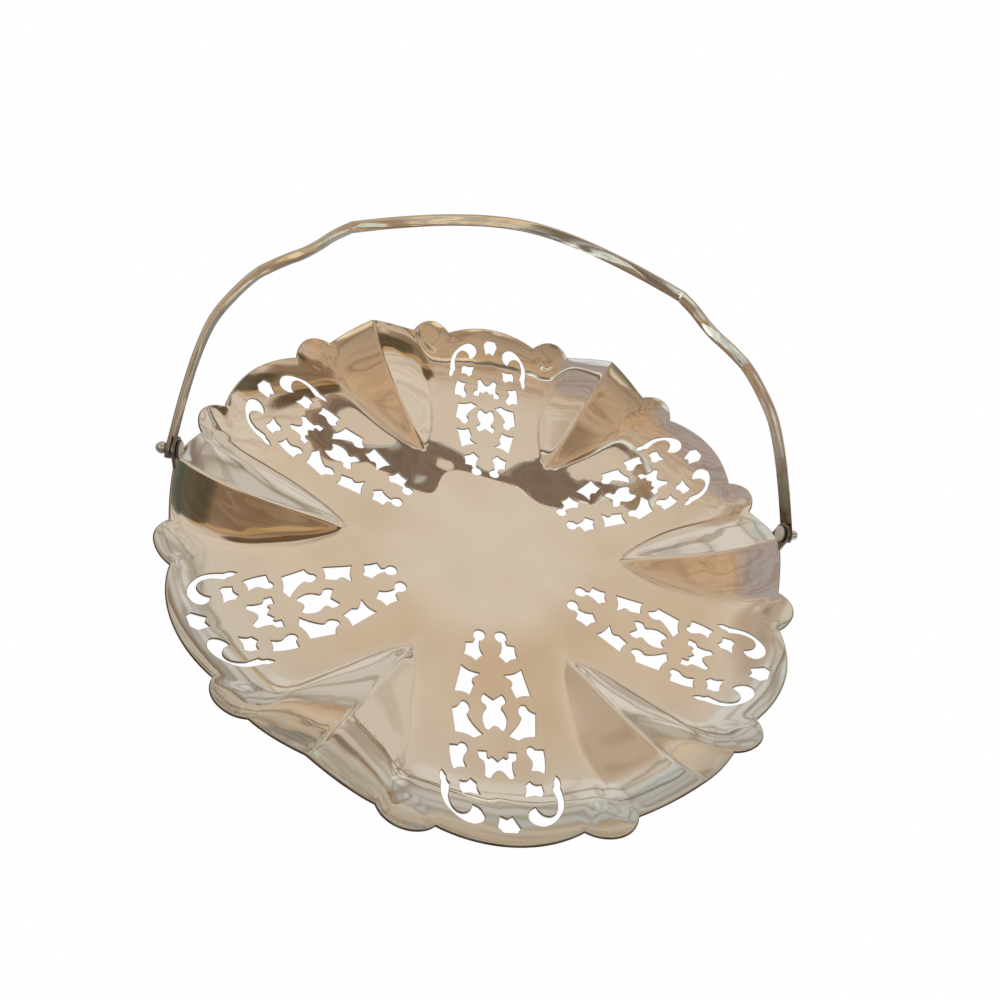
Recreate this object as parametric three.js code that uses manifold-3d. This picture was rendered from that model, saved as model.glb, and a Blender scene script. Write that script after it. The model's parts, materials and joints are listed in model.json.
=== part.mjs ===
// Pierced silver-plated basket with a swing handle.
// Millimetres, +Z up. The origin is the centre of the underside, where the basket stands.
// The handle is hinged along X, and leans towards +Y.
import * as THREE from 'three';
import { mergeVertices } from 'three/addons/utils/BufferGeometryUtils.js';
import Module from 'manifold-3d';

const wasm = await Module();
wasm.setup();

// Dish: a round sheet with a flat middle and a curved wall
const sheetThickness = 1.0;
const baseRadius = 46;
const rimRadius = 124; // at the notches between the lobes
const wallRise = 21.6; // from the flat middle to the notches
const upturn = 0.22; // share of that rise which comes late, near the rim

// Rim outline: one sector holds a flute lobe, two small lobes and a panel lobe
const sectorCount = 6;
const notchAngle = 10.7; // degrees from a flute's crest, or from a panel's middle, to the next notch
const crestReach = 0.6; // how far each lobe's tip stands out past the notches
const smallLobeReach = 4.3;
const panelLobeReach = 3.4;

// Flutes: raised ridges with a sharp crest, from a point beside the flat middle to the rim
const fluteStart = 61; // distance of the point from the centre
const fluteRise = 9.8; // crest above the wall, at the rim
const fluteGrowth = 0.75; // below 1, a flute widens fast near its point
const pointHollow = 1.5; // above 1, its sides are hollow, as near its point
const rimHollow = 0.95; // and below 1 they are full, as at the rim

// Piercing: how far the pattern starts from the centre, and the plain border left at the rim
const piercingStart = 42.3;
const piercingBorder = 4.8;

// Handle: a half-round strip
const bailHeight = 126.4; // from the hinge line to the middle of the top
const stripWidth = 7.3;
const stripThickness = 1.9;
const bailLean = 26.75; // degrees above the rim plane

// Hinge: a headed pin through ear, washer and handle, closed by a ball nut
const clearance = 0.3;
const earRadius = 4.8;
const headRadius = 3.6;
const headThickness = 1.4;
const shankRadius = 1.2;
const washerRadius = 2.7;
const washerThickness = 0.5;
const nutRadius = 2.2;

const roundSteps = 20; // sides of whatever is round

// Places that follow from these sizes
const sectorAngle = 360 / sectorCount;
const boreRadius = shankRadius + clearance;
const crestRadius = rimRadius + crestReach;
const earInside = crestRadius - 0.6 * sheetThickness; // so that the ear's foot stands in the sheet's edge
const headOutside = earInside - clearance;
const hingeHeight = dishHeight(headOutside, 0) + headRadius + 2 * clearance;
const earOutside = earInside + sheetThickness;
const washerInside = earOutside + clearance;
const bailInside = washerInside + washerThickness + clearance;
const bailMiddle = bailInside + stripThickness / 2;
const nutInside = bailInside + stripThickness + clearance;

// Height of the upper surface at a radius, at an angle in degrees from the nearest flute's crest
function dishHeight(radius, angleOffCrest) {
  const run = Math.max(0, (radius - baseRadius) / (rimRadius - baseRadius));
  const wall = wallRise * ((1 - upturn) * run ** 2 + upturn * run ** 6);
  return sheetThickness + wall + fluteHeight(radius, angleOffCrest);
}

function fluteSize(radius) {
  const run = Math.max(0, (radius - fluteStart) / (rimRadius - fluteStart)) ** fluteGrowth;
  const rimHalfWidth = rimRadius * Math.sin(THREE.MathUtils.degToRad(notchAngle));
  return {
    rise: fluteRise * run,
    halfWidth: rimHalfWidth * Math.sin((Math.PI / 2) * Math.min(run, 1)),
    hollow: pointHollow + (rimHollow - pointHollow) * run ** 2,
  };
}

function fluteHeight(radius, angleOffCrest) {
  const { rise, halfWidth, hollow } = fluteSize(radius);
  const across = Math.abs(radius * Math.sin(THREE.MathUtils.degToRad(angleOffCrest)));
  return across < halfWidth ? rise * (1 - across / halfWidth) ** hollow : 0;
}

// Angle from the nearest crest, for any angle around the dish
function offCrest(angle) {
  return angle - sectorAngle * Math.round(angle / sectorAngle);
}

function upperPoint(radius, angle) {
  const turn = THREE.MathUtils.degToRad(angle);
  const height = dishHeight(radius, offCrest(angle));
  return new THREE.Vector3(radius * Math.cos(turn), radius * Math.sin(turn), height);
}

// The underside lies one sheet thickness below, square to the surface
function lowerPoint(radius, angle) {
  const step = 0.5;
  const turn = THREE.MathUtils.radToDeg(step / Math.max(radius, 1));
  const here = upperPoint(radius, angle);
  const outward = upperPoint(radius + step, angle).sub(upperPoint(Math.max(radius - step, 0), angle));
  const around = upperPoint(radius, angle + turn).sub(upperPoint(radius, angle - turn));
  const normal = outward.cross(around).normalize();
  return here.addScaledVector(normal, -sheetThickness);
}

// Rim points of one lobe, as an arc through its two notches and its tip
function lobePoints(fromAngle, toAngle, reach, steps) {
  const middle = THREE.MathUtils.degToRad((fromAngle + toAngle) / 2);
  const half = THREE.MathUtils.degToRad((toAngle - fromAngle) / 2);
  const halfChord = rimRadius * Math.sin(half);
  const bulge = rimRadius + reach - rimRadius * Math.cos(half);
  const arcRadius = (halfChord ** 2 + bulge ** 2) / (2 * bulge);
  const centre = rimRadius + reach - arcRadius;
  const sweep = Math.atan2(halfChord, rimRadius * Math.cos(half) - centre);
  return Array.from({ length: steps }, (_, i) => {
    const turn = sweep * ((2 * i) / steps - 1);
    const out = centre + arcRadius * Math.cos(turn);
    const across = arcRadius * Math.sin(turn);
    const angle = THREE.MathUtils.radToDeg(middle + Math.atan2(across, out));
    return { radius: Math.hypot(out, across), angle };
  });
}

// Points of a ring in order round the dish, from angle 0
function inOrder(ring) {
  return ring
    .map(({ radius, angle }) => ({ radius, angle: (angle + 360) % 360 }))
    .sort((a, b) => a.angle - b.angle);
}

function rimPoints() {
  const lobes = Array.from({ length: sectorCount }, (_, sector) => {
    const crest = sector * sectorAngle;
    const panel = crest + sectorAngle / 2;
    return [
      ...lobePoints(crest - notchAngle, crest + notchAngle, crestReach, 8),
      ...lobePoints(crest + notchAngle, panel - notchAngle, smallLobeReach, 5),
      ...lobePoints(panel - notchAngle, panel + notchAngle, panelLobeReach, 8),
      ...lobePoints(panel + notchAngle, crest + sectorAngle - notchAngle, smallLobeReach, 5),
    ];
  });
  return inOrder(lobes.flat());
}

// One ring of the sheet, with points on every crest, inside each flute and across each panel
function ringPoints(radius, inFlute, inPanel) {
  const edge = THREE.MathUtils.radToDeg(Math.asin(fluteSize(radius).halfWidth / radius));
  const beside = [];
  for (let i = 1; i < inFlute; i += 1) {
    beside.push((edge * i) / inFlute);
  }
  for (let i = 0; i < inPanel; i += 1) {
    beside.push(edge + ((sectorAngle / 2 - edge) * i) / inPanel);
  }
  const angles = [];
  for (let crest = 0; crest < 360; crest += sectorAngle) {
    angles.push(crest, crest + sectorAngle / 2);
    beside.filter((angle) => angle > 0).forEach((angle) => angles.push(crest + angle, crest - angle));
  }
  return inOrder(angles.map((angle) => ({ radius, angle })));
}

// Triangles between two rings of points that both run round in order of angle
function stitch(inner, outer, innerStart, outerStart) {
  const angleAt = (ring, index) => ring[index % ring.length].angle + 360 * Math.floor(index / ring.length);
  const faces = [];
  let i = 0;
  let o = 0;
  while (i < inner.length || o < outer.length) {
    const here = [innerStart + (i % inner.length), outerStart + (o % outer.length)];
    const stepOut = i >= inner.length
      || (o < outer.length && angleAt(outer, o + 1) <= angleAt(inner, i + 1));
    if (stepOut) {
      o += 1;
      faces.push([here[0], here[1], outerStart + (o % outer.length)]);
    } else {
      i += 1;
      faces.push([here[0], here[1], innerStart + (i % inner.length)]);
    }
  }
  return faces;
}

function closedGeometry(points, faces) {
  const geometry = new THREE.BufferGeometry();
  const numbers = points.flatMap((point) => point.toArray());
  geometry.setAttribute('position', new THREE.Float32BufferAttribute(numbers, 3));
  geometry.setIndex(faces.flat());
  return geometry;
}

// The plain sheet: rings of points on the upper side, the same below, closed round the rim
function sheetGeometry() {
  const alongFlute = (share) => fluteStart + (rimRadius - fluteStart) * share;
  const rings = [
    ringPoints(baseRadius, 1, 2),
    ringPoints(fluteStart, 1, 2),
    ringPoints(alongFlute(0.2), 2, 2),
    ringPoints(alongFlute(0.43), 2, 2),
    ringPoints(alongFlute(0.65), 3, 3),
    ringPoints(alongFlute(0.85), 4, 3),
    rimPoints(),
  ];
  const upper = [new THREE.Vector3(0, 0, sheetThickness)];
  const lower = [new THREE.Vector3(0, 0, 0)];
  const starts = [];
  for (const ring of rings) {
    starts.push(upper.length);
    upper.push(...ring.map(({ radius, angle }) => upperPoint(radius, angle)));
    lower.push(...ring.map(({ radius, angle }) => lowerPoint(radius, angle)));
  }
  const faces = rings[0].map((_, i) => [0, 1 + i, 1 + ((i + 1) % rings[0].length)]);
  for (let k = 1; k < rings.length; k += 1) {
    faces.push(...stitch(rings[k - 1], rings[k], starts[k - 1], starts[k]));
  }
  const under = faces.map(([a, b, c]) => [a, c, b].map((index) => index + upper.length));
  const rimStart = starts.at(-1);
  const rimCount = rings.at(-1).length;
  const edge = Array.from({ length: rimCount }, (_, i) => {
    const a = rimStart + i;
    const b = rimStart + ((i + 1) % rimCount);
    return [[a, a + upper.length, b], [b, a + upper.length, b + upper.length]];
  }).flat();
  return closedGeometry([...upper, ...lower], [...faces, ...under, ...edge]);
}

// Solids for joining and cutting
function toSolid(geometry) {
  geometry.deleteAttribute('normal');
  geometry.deleteAttribute('uv');
  const merged = mergeVertices(geometry);
  const vertProperties = new Float32Array(merged.attributes.position.array);
  const triVerts = new Uint32Array(merged.index.array);
  return new wasm.Manifold(new wasm.Mesh({ numProp: 3, vertProperties, triVerts }));
}

function toGeometry(solid) {
  const { vertProperties, triVerts } = solid.getMesh();
  const geometry = new THREE.BufferGeometry();
  geometry.setAttribute('position', new THREE.BufferAttribute(vertProperties, 3));
  geometry.setIndex(new THREE.BufferAttribute(triVerts, 1));
  geometry.computeVertexNormals();
  return geometry;
}

// Hole outlines of one panel, drawn at real size as [across, out from the centre].
// An outline starts at its first point. A step of two numbers is a straight run,
// and a step of four is a bend: its control point, then its end.
const keyhole = [
  [5.8, 46.5], [6.9, 44.9, 6.2, 43.4], [4.8, 41.6, 2.6, 43.1], [1.6, 44.6, 2.6, 46.0],
  [3.6, 47.2, 4.7, 47.0], [5.2, 51.0, 3.4, 53.4], [6.1, 56.0], [7.6, 54.5], [10.3, 53.6],
  [9.4, 51.4, 9.6, 48.6], [6.6, 48.3],
];
const trapeze = [
  [4.6, 61.9], [9.2, 61.6, 11.6, 59.0], [14.1, 69.8], [10.8, 69.4, 8.9, 71.0], [7.3, 66.8],
  [8.9, 64.6, 6.8, 63.2],
];
const leaf = [
  [15.2, 77.2], [14.2, 86.2], [10.4, 86.2, 8.0, 88.0], [5.0, 86.6], [9.8, 81.8, 10.3, 78.9],
  [8.6, 77.2, 9.6, 75.4], [10.6, 73.4, 12.0, 74.4], [12.6, 76.6, 15.2, 77.2],
];
const shield = [
  [16.4, 91.6], [16.6, 96.4, 15.4, 100.2], [13.8, 99.0, 11.3, 99.4], [13.2, 96.4, 11.4, 94.4],
  [10.0, 92.4, 11.2, 90.9], [12.6, 89.9, 13.4, 91.6],
];
const star = [
  [10.0, 103.8], [11.4, 105.6, 13.6, 104.8], [13.8, 107.4], [13.0, 108.9], [10.6, 108.6], [7.5, 109.3],
  [8.9, 107.2, 8.4, 105.2],
];
const scroll = [
  [19.5, 101.4], [20.7, 102.8, 19.7, 105.4], [20.8, 112.0, 17.4, 115.6], [14.6, 119.4, 10.8, 119.9],
  [6.8, 119.4, 7.3, 116.4], [7.9, 114.0, 10.1, 113.2], [11.0, 116.4, 14.0, 116.5],
  [17.8, 116.0, 18.2, 110.0], [17.4, 106.0], [18.6, 105.0, 18.4, 103.2],
];
// Outlines on the panel's middle line: the half on one side of it
const tulip = [
  [0, 72.9], [3.3, 70.5], [4.7, 71.8, 4.1, 73.8], [2.2, 74.6, 2.5, 76.2], [4.8, 79.0, 4.0, 82.0],
  [3.4, 84.9, 2.3, 84.5], [1.2, 82.8, 0, 82.8],
];
const crown = [
  [0, 97.1], [2.0, 95.3], [3.1, 96.0], [4.0, 95.2], [4.0, 93.2], [6.6, 93.2], [6.3, 95.6], [4.7, 96.6],
  [4.2, 99.4, 4.9, 101.8], [4.2, 103.4, 3.2, 102.6], [1.4, 99.8, 0, 99.8],
];
const pentagon = [[0, 117.9], [1.9, 116.9], [3.4, 120.8], [2.0, 122.6], [0, 122.6]];
const drawnStart = 42.4; // innermost and outermost points of the drawing
const drawnEnd = 122.6;
const bendStep = 3.4; // longest straight stretch that stands for a bend

function outlinePoints(steps) {
  const path = new THREE.Path();
  path.moveTo(...steps[0]);
  for (const step of steps.slice(1)) {
    if (step.length === 2) {
      path.lineTo(...step);
    } else {
      path.quadraticCurveTo(...step);
    }
  }
  const points = path.curves.flatMap((curve) => {
    const parts = curve.isLineCurve ? 1 : Math.ceil(curve.getLength() / bendStep);
    return curve.getPoints(parts).slice(1);
  });
  return [path.curves[0].getPoint(0), ...points];
}

// All the outlines of one panel, fitted between its start and the border at the rim
function panelOutlines() {
  const mirrored = (points) => points.map((point) => new THREE.Vector2(-point.x, point.y));
  const paired = [keyhole, trapeze, leaf, shield, star, scroll].map(outlinePoints);
  const middle = [tulip, crown, pentagon].map(outlinePoints)
    .map((half) => [...half, ...mirrored(half.slice(1, -1)).reverse()]);
  const end = rimRadius + panelLobeReach - piercingBorder;
  const scale = (end - piercingStart) / (drawnEnd - drawnStart);
  const fit = (point) => new THREE.Vector2(piercingStart + (point.y - drawnStart) * scale, point.x * scale);
  return [...paired, ...paired.map(mirrored), ...middle].map((points) => points.map(fit));
}

function piercingSolid() {
  const height = 2 * dishHeight(rimRadius + smallLobeReach, 0);
  const panel = wasm.Manifold.union(panelOutlines().map((points) => {
    const shape = new THREE.Shape(points);
    const prism = new THREE.ExtrudeGeometry(shape, { depth: height, bevelEnabled: false });
    return toSolid(prism.translate(0, 0, -height / 4));
  }));
  const turns = Array.from({ length: sectorCount }, (_, sector) => (sector + 0.5) * sectorAngle);
  return wasm.Manifold.union(turns.map((angle) => panel.rotate([0, 0, angle])));
}

// An upturned ear for the pin, cut at its foot to the ridge that it rises from
function earSolid() {
  const offAngle = THREE.MathUtils.radToDeg(Math.asin(earRadius / crestRadius));
  const foot = (angle) => dishHeight(crestRadius, angle) - sheetThickness / 2;
  const shape = new THREE.Shape();
  shape.moveTo(0, foot(0));
  shape.lineTo(earRadius, foot(offAngle));
  shape.lineTo(earRadius, hingeHeight);
  shape.absarc(0, hingeHeight, earRadius, 0, Math.PI, false);
  shape.lineTo(-earRadius, foot(offAngle));
  shape.holes.push(new THREE.Path().absarc(0, hingeHeight, boreRadius, 0, 2 * Math.PI, true));
  const options = { depth: sheetThickness, bevelEnabled: false, curveSegments: roundSteps / 2 };
  const plate = new THREE.ExtrudeGeometry(shape, options);
  const standing = new THREE.Matrix4().makeBasis(
    new THREE.Vector3(0, 1, 0),
    new THREE.Vector3(0, 0, 1),
    new THREE.Vector3(1, 0, 0),
  );
  return toSolid(plate.applyMatrix4(standing).translate(earInside, 0, 0));
}

function dishGeometry() {
  const ear = earSolid();
  const pierced = toSolid(sheetGeometry()).subtract(piercingSolid());
  return toGeometry(pierced.add(ear).add(ear.rotate([0, 0, 180])));
}

// Middle line of one half of the handle, from hinge to top, as shares of its half span and height
function bailLine() {
  const at = (across, up) => new THREE.Vector2(across * bailMiddle, up * bailHeight);
  const corner = at(0.578, 0.858);
  const leg = new THREE.SplineCurve([
    at(1, 0), at(0.994, 0.19), at(0.977, 0.35), at(0.933, 0.495), at(0.853, 0.622),
    at(0.758, 0.702), at(0.684, 0.768), corner,
  ]);
  const top = new THREE.QuadraticBezierCurve(corner, at(0.222, 1), at(0, 1));
  return [...leg.getPoints(21), ...top.getPoints(9).slice(1)];
}

// Stations along the whole handle: place, half width, with round ends below the hinge line
function bailStations() {
  const endRadius = stripWidth / 2;
  const end = [75, 52, 30, 12].map(THREE.MathUtils.degToRad).map((turn) => ({
    point: new THREE.Vector2(bailMiddle, -endRadius * Math.sin(turn)),
    halfWidth: endRadius * Math.cos(turn),
  }));
  const half = [...end, ...bailLine().map((point) => ({ point, halfWidth: endRadius }))];
  const mirrored = half.slice(0, -1).reverse()
    .map(({ point, halfWidth }) => ({ point: new THREE.Vector2(-point.x, point.y), halfWidth }));
  return [...half, ...mirrored];
}

// Half-round section: flat inside, domed outside, as [share of the half width, offset outwards]
function stripSection() {
  const half = stripThickness / 2;
  return [
    [-0.94, -half], [0.94, -half], [1, -0.45 * half], [0.64, 0.75 * half],
    [0, half], [-0.64, 0.75 * half], [-1, -0.45 * half],
  ];
}

function bailGeometry() {
  const stations = bailStations();
  const section = stripSection();
  const points = stations.flatMap(({ point, halfWidth }, i) => {
    const before = stations[Math.max(i - 1, 0)].point;
    const after = stations[Math.min(i + 1, stations.length - 1)].point;
    const along = after.clone().sub(before).normalize();
    return section.map(([share, outwards]) => new THREE.Vector3(
      point.x + along.y * outwards,
      point.y - along.x * outwards,
      share * halfWidth,
    ));
  });
  const count = section.length;
  const faces = [];
  for (let k = 0; k < stations.length - 1; k += 1) {
    for (let i = 0; i < count; i += 1) {
      const a = k * count + i;
      const b = k * count + ((i + 1) % count);
      faces.push([a, b, a + count], [b, b + count, a + count]);
    }
  }
  const last = (stations.length - 1) * count;
  for (let i = 1; i < count - 1; i += 1) {
    faces.push([0, i + 1, i], [last, last + i, last + i + 1]);
  }
  const bore = new THREE.CylinderGeometry(boreRadius, boreRadius, 3 * bailMiddle, roundSteps);
  return toGeometry(toSolid(closedGeometry(points, faces)).subtract(toSolid(bore.rotateZ(Math.PI / 2))));
}

// Turned pieces of the hinge: [radius, distance from the middle of the basket] turned about the pin's axis
function turned(profile) {
  return new THREE.LatheGeometry(profile.map((pair) => new THREE.Vector2(...pair)), roundSteps);
}

function pinGeometry() {
  const face = headOutside - headThickness;
  const shankEnd = nutInside + nutRadius - 2 * clearance;
  return turned([
    [0, face],
    [0.6 * headRadius, face + 0.1 * headThickness],
    [0.92 * headRadius, face + 0.35 * headThickness],
    [headRadius, face + 0.65 * headThickness],
    [headRadius, headOutside],
    [shankRadius, headOutside],
    [shankRadius, shankEnd],
    [0, shankEnd],
  ]);
}

function washerGeometry() {
  const outside = washerInside + washerThickness;
  return turned([
    [boreRadius, washerInside],
    [washerRadius, washerInside],
    [washerRadius, outside],
    [boreRadius, outside],
    [boreRadius, washerInside],
  ]);
}

// A ball with a flat towards the handle and a blind bore for the pin
function nutGeometry() {
  const centre = nutInside + nutRadius / 2;
  const ball = [-30, -10, 10, 30, 50, 70].map((latitude) => {
    const turn = THREE.MathUtils.degToRad(latitude);
    return [nutRadius * Math.cos(turn), centre + nutRadius * Math.sin(turn)];
  });
  const boreEnd = nutInside + nutRadius - clearance;
  return turned([
    [0, boreEnd], [boreRadius, boreEnd], [boreRadius, nutInside], ...ball, [0, centre + nutRadius],
  ]);
}

const warmSilver = { color: 0xd2c4b0, roughness: 0.12, metalness: 1 };
const greySilver = { color: 0xb9b4a8, roughness: 0.18, metalness: 1 };

function named(name, geometry, finish) {
  const mesh = new THREE.Mesh(geometry, new THREE.MeshStandardMaterial(finish));
  mesh.name = name;
  return mesh;
}

// Hinge pieces of one side, turned about an axis along X
function hingeSide(side) {
  const group = new THREE.Group();
  group.add(named(`pin_${side}`, pinGeometry(), greySilver));
  group.add(named(`washer_${side}`, washerGeometry(), greySilver));
  group.add(named(`nut_${side}`, nutGeometry(), greySilver));
  group.rotation.z = side === 'right' ? -Math.PI / 2 : Math.PI / 2;
  group.position.z = hingeHeight;
  return group;
}

const basket = new THREE.Group();
basket.add(named('dish', dishGeometry(), warmSilver));
basket.add(hingeSide('left'), hingeSide('right'));

const bail = named('bail', bailGeometry(), greySilver);
bail.rotation.x = THREE.MathUtils.degToRad(bailLean);
bail.position.z = hingeHeight;
basket.add(bail);

export default basket;
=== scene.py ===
import json
from math import atan2, ceil, cos, degrees, dist, pi, radians, sin, sqrt

import bpy
import numpy as np
from mathutils import Matrix, Vector


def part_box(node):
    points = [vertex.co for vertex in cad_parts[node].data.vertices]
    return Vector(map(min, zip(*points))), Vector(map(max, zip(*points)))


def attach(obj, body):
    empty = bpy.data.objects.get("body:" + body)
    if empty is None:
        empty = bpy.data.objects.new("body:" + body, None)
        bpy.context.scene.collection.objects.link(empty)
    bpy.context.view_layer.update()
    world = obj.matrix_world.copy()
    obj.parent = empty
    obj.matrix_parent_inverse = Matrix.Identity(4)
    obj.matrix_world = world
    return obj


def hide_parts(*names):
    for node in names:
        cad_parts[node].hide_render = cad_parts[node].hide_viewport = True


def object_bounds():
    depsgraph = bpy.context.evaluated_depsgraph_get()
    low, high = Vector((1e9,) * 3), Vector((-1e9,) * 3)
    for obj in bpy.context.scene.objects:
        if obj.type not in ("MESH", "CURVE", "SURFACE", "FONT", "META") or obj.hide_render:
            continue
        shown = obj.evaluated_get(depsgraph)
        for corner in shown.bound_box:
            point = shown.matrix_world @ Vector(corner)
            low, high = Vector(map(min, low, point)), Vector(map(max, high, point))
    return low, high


# Pierced silver-plated basket with a swing handle: shapes, finishes, studio and camera.
# Metres throughout. The dish stands on Z = 0 and the handle is hinged along X.
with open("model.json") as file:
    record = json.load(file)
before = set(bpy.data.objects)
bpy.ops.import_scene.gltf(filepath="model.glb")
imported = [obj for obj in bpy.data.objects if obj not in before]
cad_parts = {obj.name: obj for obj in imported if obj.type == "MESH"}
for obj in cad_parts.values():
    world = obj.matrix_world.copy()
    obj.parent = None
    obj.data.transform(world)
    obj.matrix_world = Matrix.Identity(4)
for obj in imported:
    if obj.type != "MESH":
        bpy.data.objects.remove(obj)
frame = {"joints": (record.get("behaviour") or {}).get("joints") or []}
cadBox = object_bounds()
hinge = Vector(frame["joints"][0]["pos_m"])
millimetre = 0.001
print("frame loaded")


# Picking, placing and finishing meshes

def endEdit():
    bpy.ops.object.mode_set(mode="OBJECT")


def applyPlace():
    bpy.ops.object.transform_apply()


def pickNothing():
    if bpy.context.mode != "OBJECT":
        endEdit()
    bpy.ops.object.select_all(action="DESELECT")


def pick(*pieces):
    pickNothing()
    for piece in pieces:
        piece.select_set(True)
    bpy.context.view_layer.objects.active = pieces[0]


def newest(name):
    piece = bpy.context.object
    piece.name = name
    piece.data.name = name
    return piece


partLists = {"VERT": "vertices", "EDGE": "edges", "FACE": "polygons"}


def choose(piece, kind, test=lambda part: True):
    # leaves edit mode on, with only the parts selected for which test is true
    pick(piece)
    bpy.ops.object.mode_set(mode="EDIT")
    bpy.ops.mesh.select_mode(type=kind)
    bpy.ops.mesh.select_all(action="DESELECT")
    endEdit()
    for part in getattr(piece.data, partLists[kind]):
        part.select = bool(test(part))
    bpy.ops.object.mode_set(mode="EDIT")


def faceOutwards():
    bpy.ops.mesh.normals_make_consistent()
    endEdit()


def mergeDoubles(piece, gap=1e-6):
    choose(piece, "VERT")
    bpy.ops.mesh.remove_doubles(threshold=gap)
    faceOutwards()


def modify(piece, kind, **settings):
    pick(piece)
    modifier = piece.modifiers.new(kind.title(), kind)
    for name, value in settings.items():
        setattr(modifier, name, value)
    bpy.ops.object.modifier_apply(modifier=modifier.name)


def smooth(piece, angle):
    pick(piece)
    bpy.ops.object.shade_smooth_by_angle(angle=radians(angle))


def placesOf(piece):
    places = np.empty(len(piece.data.vertices) * 3)
    piece.data.vertices.foreach_get("co", places)
    return places.reshape(-1, 3)


def placeVertices(piece, places):
    piece.data.vertices.foreach_set("co", np.asarray(places, dtype=float).ravel())
    piece.data.update()


def wrappedGrid(name, along, across, place):
    # a grid whose every vertex goes to place(step along, step across)
    bpy.ops.mesh.primitive_grid_add(x_subdivisions=along, y_subdivisions=across, size=1)
    piece = newest(name)
    steps = np.rint((placesOf(piece)[:, :2] + 0.5) * (along, across)).astype(int)
    placeVertices(piece, [place(i, j) for i, j in steps])
    mergeDoubles(piece)
    return piece


def closeEnds(piece):
    choose(piece, "EDGE")
    bpy.ops.mesh.fill_holes(sides=0)
    faceOutwards()


def rod(name, sides, radius, middle, length):
    # a disc or rod along the hinge line, at a distance from the middle of the dish
    bpy.ops.mesh.primitive_cylinder_add(
        vertices=sides, radius=radius, depth=length, location=(middle, 0, hinge.z), rotation=(0, pi / 2, 0)
    )
    return newest(name)


def cut(piece, cutter):
    modify(piece, "BOOLEAN", object=cutter, operation="DIFFERENCE", solver="EXACT")
    bpy.data.objects.remove(cutter)


def joined(pieces):
    pick(*pieces)
    bpy.ops.object.join()
    return bpy.context.object


# Dish: a lobed sheet with six flutes and six pierced panels

sheet = {
    "thickness": 0.001,
    "flatRadius": 0.046,
    "rimRadius": 0.124,  # at the notches between the lobes
    "wallRise": 0.0216,
    "upturn": 0.22,  # share of that rise which comes late
    "sectors": 6,
    "notchAngle": 10.7,  # degrees, from a crest or a panel's middle
    "crestReach": 0.0006,
    "smallLobeReach": 0.0043,
    "panelLobeReach": 0.0034,
    "dishing": 0.0021,  # a little hollow in the middle
    "dishingFrom": (0.02, 0.066),
    "dishingTo": (0.068, 0.118),
    "dishingShift": 0.005,  # outwards beside the flutes, inwards between them
    "shiftedBeyond": 0.05,
    "lipRise": 0.0004,  # and the rim turns up a little more at its very edge
    "lipWidth": 0.008,
    "lobeFold": 0.0095,  # a fold closes each small lobe's circle
    "lobeSink": 0.0003,
    "foldWidth": 0.005,
    "foldSlant": 3,  # at most
    "lobedFrom": 0.108,  # rings farther out bend towards the lobed rim
    "edgeRound": 0.0003,
    "innerRings": (0, 0.012, 0.022, 0.03, 0.036, 0.041),
    "wallRings": 36,
    "rimRings": 24,
    "stepsInFlute": 14,
    "stepsInSmallLobe": 19,
    "stepsInPanel": 14,
    "crowdedFrom": 0.03,
    "leastFoot": 2.2,  # degrees from a crest to the first crowding of stations
    "lobeCrowding": 1.2,
}
flute = {
    "start": 0.061,
    "rise": 0.0098,
    "growth": 0.75,
    "pointHollow": 1.2,
    "rimHollow": 0.86,
    "crestRound": 0.0005,
    "softPoint": 0.0011,  # added to it at the point, where the crest is soft
    "pointLength": 0.008,
    "footRound": 0.001,  # radius of the hollow along the foot, at the point
    "footGrowth": 0.0044,  # and how much wider it is at the rim
    "leastWidth": 0.003,
    "fadesOut": (15, 28),  # degrees from the crest
    "extraRise": {-2: 0.0022, 2: -0.0012},  # flutes that stand up more or less than the rest
}
# small unevenness of the wall: height, waves round the dish, turn in degrees
unevenness = ((0.00022, 2, 40), (0.00016, 5, 100), (0.00009, 11, 20))
sectorAngle = 360 / sheet["sectors"]


def fluteAt(radius):
    length = sheet["rimRadius"] - flute["start"]
    run = np.clip((radius - flute["start"]) / length, 0, None) ** flute["growth"]
    rimHalf = sheet["rimRadius"] * sin(radians(sheet["notchAngle"]))
    halfWidth = rimHalf * np.sin(pi / 2 * np.minimum(run, 1))
    hollow = flute["pointHollow"] + (flute["rimHollow"] - flute["pointHollow"]) * run**2
    return run, halfWidth, hollow


def between(value, low, high):
    # 0 up to low, 1 from high on, and smooth between
    share = np.clip((value - low) / (high - low), 0, 1)
    return share**2 * (3 - 2 * share)


def rimFinish(radius, offCrest):
    # the turned-up edge, and the small lobes' folds
    inward = np.clip(rimRadiusAt(offCrest) - radius, 0, None)
    lip = sheet["lipRise"] * np.clip(1 - inward / sheet["lipWidth"], 0, 1) ** 3
    lobeHalf = sectorAngle / 4 - sheet["notchAngle"]
    fromLobe = (offCrest - sectorAngle / 4) / lobeHalf
    fold = sheet["rimRadius"] - sheet["lobeFold"] * (1 - fromLobe**2)
    slant = 2 * sheet["lobeFold"] * fromLobe / (sheet["rimRadius"] * radians(lobeHalf))
    foldWidth = sheet["foldWidth"] * np.sqrt(1 + np.minimum(slant**2, sheet["foldSlant"] ** 2))
    sink = sheet["lobeSink"] * between(radius, fold, fold + foldWidth)
    return lip - np.where(np.abs(fromLobe) < 1, sink, 0)


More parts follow.
